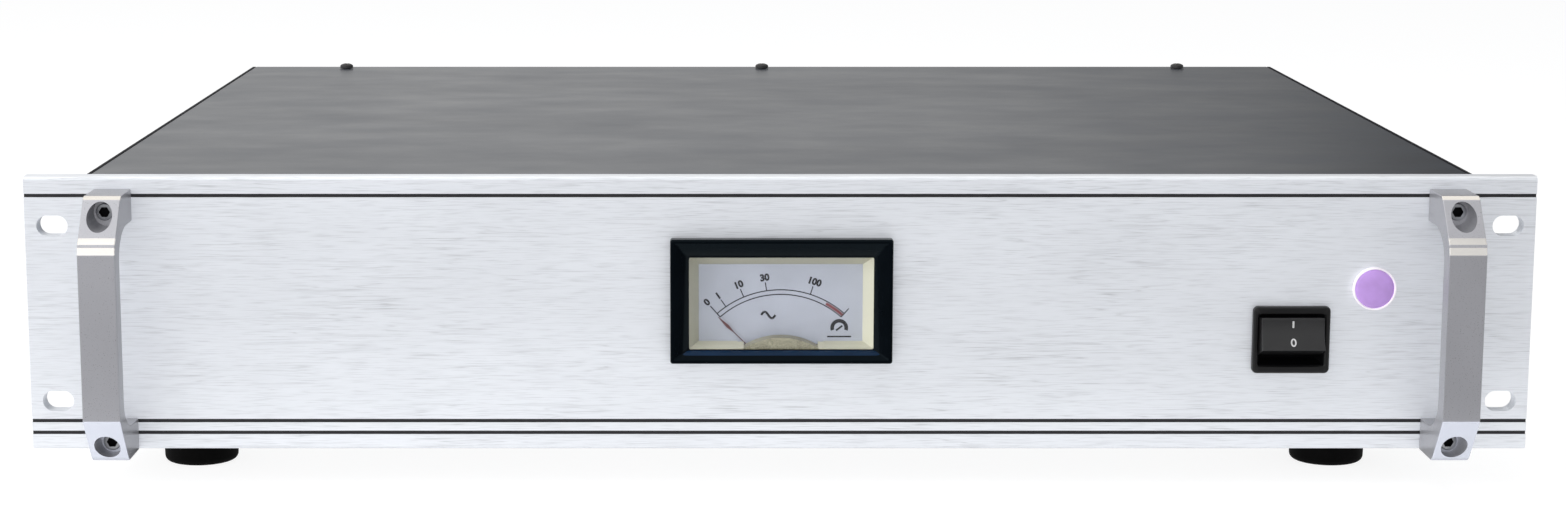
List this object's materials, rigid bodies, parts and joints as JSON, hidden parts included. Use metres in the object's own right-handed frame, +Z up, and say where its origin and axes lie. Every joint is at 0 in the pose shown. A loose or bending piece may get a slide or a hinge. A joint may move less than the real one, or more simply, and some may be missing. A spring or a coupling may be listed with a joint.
{
  "type": "rack power amplifier",
  "caption": "Rack-mount radio power amplifier: grooved silver panel with handles, moving-coil power meter, rocker mains switch and pilot lamp, in a black steel case cooled by fans.",
  "frame": {"origin": "on the surface it stands on, under the middle of its overall width and depth", "axes": "+X to the right seen from the front, along the panel; +Y to the rear; +Z up"},
  "size_m": [0.4826, 0.4046, 0.1027],
  "materials": {
    "panel_silver": "brushed, clear anodised",
    "handle_silver": "satin anodised",
    "screw_steel": "plated",
    "gloss_black": "gloss",
    "window_clear": "clear",
    "dial_cream": "matt printed card",
    "olive_metal": "matt",
    "plastic_black": "satin",
    "needle_red": "painted",
    "plastic_white": "satin",
    "lens_violet": "translucent, lit",
    "nickel": "nickel plated",
    "sheet_zinc": "zinc plated",
    "paint_black": "satin black paint",
    "rubber_black": "matt",
    "heatsink_black": "black anodised",
    "board_green": "lacquered",
    "can_aluminium": "bare",
    "supply_grey": "bare sheet",
    "fan_black": "matt",
    "coax_black": "satin",
    "wire_red": "satin",
    "wire_blue": "satin"
  },
  "bodies": {
    "chassis": {"front_panel": "panel_silver", "left_handle": "handle_silver", "right_handle": "handle_silver", "handle_screw_left_top": "screw_steel", "handle_screw_left_bottom": "screw_steel", "handle_screw_right_top": "screw_steel", "handle_screw_right_bottom": "screw_steel", "meter_bezel": "gloss_black", "meter_window": "window_clear", "meter_dial": "dial_cream", "meter_movement_cover": "olive_metal", "meter_case": "plastic_black", "meter_movement": "screw_steel", "switch_body": "plastic_black", "lamp_body": "plastic_white", "lamp_lens": "lens_violet", "lamp_nut": "nickel", "chassis_tray": "sheet_zinc", "top_cover": "paint_black", "rear_panel": "sheet_zinc", "cover_screw_rear_left": "screw_steel", "cover_screw_rear_middle": "screw_steel", "cover_screw_rear_right": "screw_steel", "cover_screw_side_left": "screw_steel", "cover_screw_side_right": "screw_steel", "rear_panel_screw_left": "screw_steel", "rear_panel_screw_right": "screw_steel", "foot_front_left": "rubber_black", "foot_front_right": "rubber_black", "foot_rear_left": "rubber_black", "foot_rear_right": "rubber_black", "foot_screw_front_left": "screw_steel", "foot_screw_front_right": "screw_steel", "foot_screw_rear_left": "screw_steel", "foot_screw_rear_right": "screw_steel", "heatsink": "heatsink_black", "amplifier_board": "board_green", "power_transistor_1": "olive_metal", "power_transistor_2": "olive_metal", "output_filter_can": "can_aluminium", "power_supply": "supply_grey", "meter_driver_board": "board_green", "fan_frame_left": "fan_black", "fan_frame_right": "fan_black", "rf_output_connector": "nickel", "rf_input_connector": "nickel", "mains_inlet": "plastic_black", "ground_post": "nickel", "output_coax": "coax_black", "input_coax": "coax_black", "supply_output_lead": "wire_red", "inlet_to_switch_lead": "coax_black", "switch_to_supply_lead": "wire_blue", "lamp_lead": "wire_red", "meter_lead": "wire_red"},
    "rocker": {"power_rocker": "plastic_black"},
    "needle": {"meter_needle": "needle_red"},
    "left_fan": {"fan_rotor_left": "fan_black"},
    "right_fan": {"fan_rotor_right": "fan_black"}
  },
  "joints": [
    {"name": "rocker_tilt", "type": "hinge", "parent": "chassis", "child": "rocker", "pos_m": [0.16415, -0.16945, 0.0483], "axis": [1, 0, 0], "range_deg": [0, 30]},
    {"name": "needle_swing", "type": "hinge", "parent": "chassis", "child": "needle", "pos_m": [0.0005, -0.16545, 0.0343], "axis": [0, 1, 0], "range_deg": [0, 91], "stiffness_Nm_per_rad": 0.0002},
    {"name": "left_fan_spin", "type": "hinge", "parent": "chassis", "child": "left_fan", "pos_m": [-0.12488, 0.169, 0.0505], "axis": [0, 1, 0], "continuous": true},
    {"name": "right_fan_spin", "type": "hinge", "parent": "chassis", "child": "right_fan", "pos_m": [-0.0446, 0.169, 0.0505], "axis": [0, 1, 0], "continuous": true}
  ]
}
